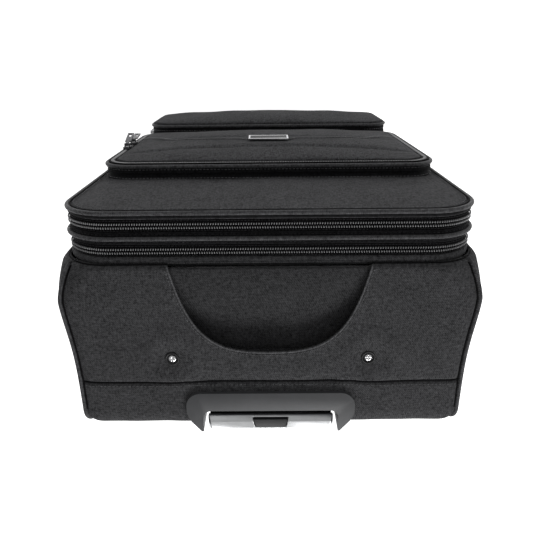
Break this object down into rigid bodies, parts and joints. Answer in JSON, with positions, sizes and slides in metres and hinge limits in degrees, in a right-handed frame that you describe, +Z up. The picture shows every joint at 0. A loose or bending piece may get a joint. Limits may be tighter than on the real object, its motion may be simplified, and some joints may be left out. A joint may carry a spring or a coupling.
{
  "type": "rolling flight case",
  "caption": "Soft-sided wheeled flight case with a telescoping handle, zipped lid, expansion section and domed front pockets.",
  "frame": {"origin": "middle of the case's footprint on the floor, standing upright", "axes": "+Z up, -Y towards the front pockets, +X to the right seen from the front"},
  "size_m": [0.3708, 0.2526, 0.56],
  "materials": {
    "twill": "black polyester twill with a slight sheen",
    "edge_fabric": "black plain-woven edging",
    "lining_cloth": "grey taffeta lining",
    "webbing": "black woven webbing",
    "zip_tape": "black zip tape and coil",
    "piping": "smooth black piping cord",
    "housing_plastic": "satin charcoal moulding",
    "black_plastic": "fine-textured black moulding",
    "grip_metal": "satin silver",
    "tube_metal": "drawn aluminium",
    "steel": "plated steel",
    "screw_metal": "bright plated",
    "slider_metal": "gunmetal zip fittings",
    "bright_slider": "nickel-plated zip fitting",
    "badge_metal": "polished rim",
    "badge_enamel": "black enamel",
    "wheel_rubber": "dark polyurethane tyre",
    "hub_plastic": "dark grey moulding"
  },
  "bodies": {
    "case": {"back_tub": "twill", "top_panel": "twill", "side_panels": "twill", "grab_scoop": "edge_fabric", "grab_bar": "webbing", "grab_screws": "screw_metal", "cup_washers": "black_plastic", "side_piping": "piping", "front_binding": "edge_fabric", "frame_rod": "steel", "lining": "lining_cloth", "tie_straps": "webbing", "strap_buckle": "black_plastic", "handle_bezel": "housing_plastic", "outer_tubes": "tube_metal", "outer_bushings": "black_plastic", "tube_bracket": "black_plastic", "wheel_housings": "black_plastic", "wheel_axles": "steel", "wheel_bearings": "steel", "base_screws": "screw_metal", "front_feet": "black_plastic", "expander_zip_rear": "zip_tape", "expansion_gusset": "edge_fabric"},
    "expander": {"expander_zip_front": "zip_tape", "expander_ring": "twill", "ridge_piping": "piping", "main_zip_rear": "zip_tape", "hinge_tape": "edge_fabric"},
    "lid": {"main_zip_front": "zip_tape", "lid_panel": "twill", "lid_piping": "piping", "pocket_gussets": "edge_fabric", "pocket_piping": "piping", "pocket_zips": "zip_tape"},
    "upper_pocket_cover": {"upper_cover": "twill", "badge_frame": "badge_metal", "badge_plate": "badge_enamel"},
    "lower_pocket_cover": {"lower_cover": "twill"},
    "handle_middle": {"mid_tubes": "tube_metal", "mid_bushings": "black_plastic"},
    "grip": {"inner_tubes": "tube_metal", "grip_shell": "black_plastic", "grip_cap": "grip_metal"},
    "button": {"release_button": "black_plastic", "release_rods": "steel"},
    "wheel_left": {"tyre_left": "wheel_rubber", "hub_left": "hub_plastic"},
    "wheel_right": {"tyre_right": "wheel_rubber", "hub_right": "hub_plastic"},
    "expander_zip_slider": {"expander_slider": "slider_metal"},
    "main_zip_slider_upper": {"main_slider_upper": "slider_metal"},
    "main_zip_pull_upper": {"main_pull_upper": "slider_metal"},
    "main_zip_slider_lower": {"main_slider_lower": "slider_metal"},
    "main_zip_pull_lower": {"main_pull_lower": "slider_metal"},
    "pocket_zip_slider_upper": {"pocket_slider_upper": "slider_metal"},
    "pocket_zip_pull_upper": {"pocket_pull_upper": "slider_metal"},
    "pocket_zip_slider_lower": {"pocket_slider_lower": "slider_metal"},
    "pocket_zip_pull_lower": {"pocket_pull_lower": "slider_metal"},
    "lower_pocket_zip_slider": {"lower_pocket_slider": "bright_slider"}
  },
  "joints": [
    {"name": "expansion", "type": "slide", "parent": "case", "child": "expander", "axis": [0, -1, 0], "range_m": [0, 0.045], "deforming": ["expansion_gusset"]},
    {"name": "lid_hinge", "type": "hinge", "parent": "expander", "child": "lid", "pos_m": [0, -0.078, 0.0465], "axis": [1, 0, 0], "range_deg": [0, 88]},
    {"name": "upper_pocket_opening", "type": "hinge", "parent": "lid", "child": "upper_pocket_cover", "pos_m": [0, -0.1081, 0.2153], "axis": [1, 0, 0], "range_deg": [0, 70]},
    {"name": "lower_pocket_opening", "type": "hinge", "parent": "lid", "child": "lower_pocket_cover", "pos_m": [0, -0.1166, 0.058], "axis": [1, 0, 0], "range_deg": [0, 60]},
    {"name": "handle_lower_stage", "type": "slide", "parent": "case", "child": "handle_middle", "axis": [0, 0, 1], "range_m": [0, 0.22]},
    {"name": "handle_upper_stage", "type": "slide", "parent": "handle_middle", "child": "grip", "axis": [0, 0, 1], "range_m": [0, 0.22]},
    {"name": "button_press", "type": "slide", "parent": "grip", "child": "button", "axis": [0, 0, -1], "range_m": [0, 0.003], "stiffness_N_per_m": 600, "springref_m": -0.004},
    {"name": "wheel_left_spin", "type": "hinge", "parent": "case", "child": "wheel_left", "pos_m": [-0.154, 0.096, 0.03], "axis": [1, 0, 0], "continuous": true},
    {"name": "wheel_right_spin", "type": "hinge", "parent": "case", "child": "wheel_right", "pos_m": [0.154, 0.096, 0.03], "axis": [1, 0, 0], "continuous": true},
    {"name": "expander_zip_run", "type": "slide", "parent": "case", "child": "expander_zip_slider", "axis": [0, 0, 1], "range_m": [-0.05, 0.34]},
    {"name": "main_zip_run_upper", "type": "slide", "parent": "expander", "child": "main_zip_slider_upper", "axis": [0, 0, 1], "range_m": [0, 0.15]},
    {"name": "main_zip_run_lower", "type": "slide", "parent": "expander", "child": "main_zip_slider_lower", "axis": [0, 0, -1], "range_m": [0, 0.2]},
    {"name": "main_pull_upper_swing", "type": "hinge", "parent": "main_zip_slider_upper", "child": "main_zip_pull_upper", "pos_m": [0.1833, -0.078, 0.35], "axis": [0, -1, 0], "range_deg": [0, 150]},
    {"name": "main_pull_lower_swing", "type": "hinge", "parent": "main_zip_slider_lower", "child": "main_zip_pull_lower", "pos_m": [0.1833, -0.078, 0.318], "axis": [0, -1, 0], "range_deg": [0, 150]},
    {"name": "pocket_zip_run_upper", "type": "slide", "parent": "lid", "child": "pocket_zip_slider_upper", "axis": [0, 0, 1], "range_m": [0, 0.05]},
    {"name": "pocket_zip_run_lower", "type": "slide", "parent": "lid", "child": "pocket_zip_slider_lower", "axis": [0, 0, -1], "range_m": [0, 0.05]},
    {"name": "pocket_pull_upper_swing", "type": "hinge", "parent": "pocket_zip_slider_upper", "child": "pocket_zip_pull_upper", "pos_m": [0.1628, -0.1134, 0.346], "axis": [-1, 0, 0], "range_deg": [0, 100]},
    {"name": "pocket_pull_lower_swing", "type": "hinge", "parent": "pocket_zip_slider_lower", "child": "pocket_zip_pull_lower", "pos_m": [0.1628, -0.1134, 0.314], "axis": [-1, 0, 0], "range_deg": [0, 100]},
    {"name": "lower_pocket_zip_run", "type": "slide", "parent": "lid", "child": "lower_pocket_zip_slider", "axis": [0, 0, -1], "range_m": [0, 0.05]}
  ]
}
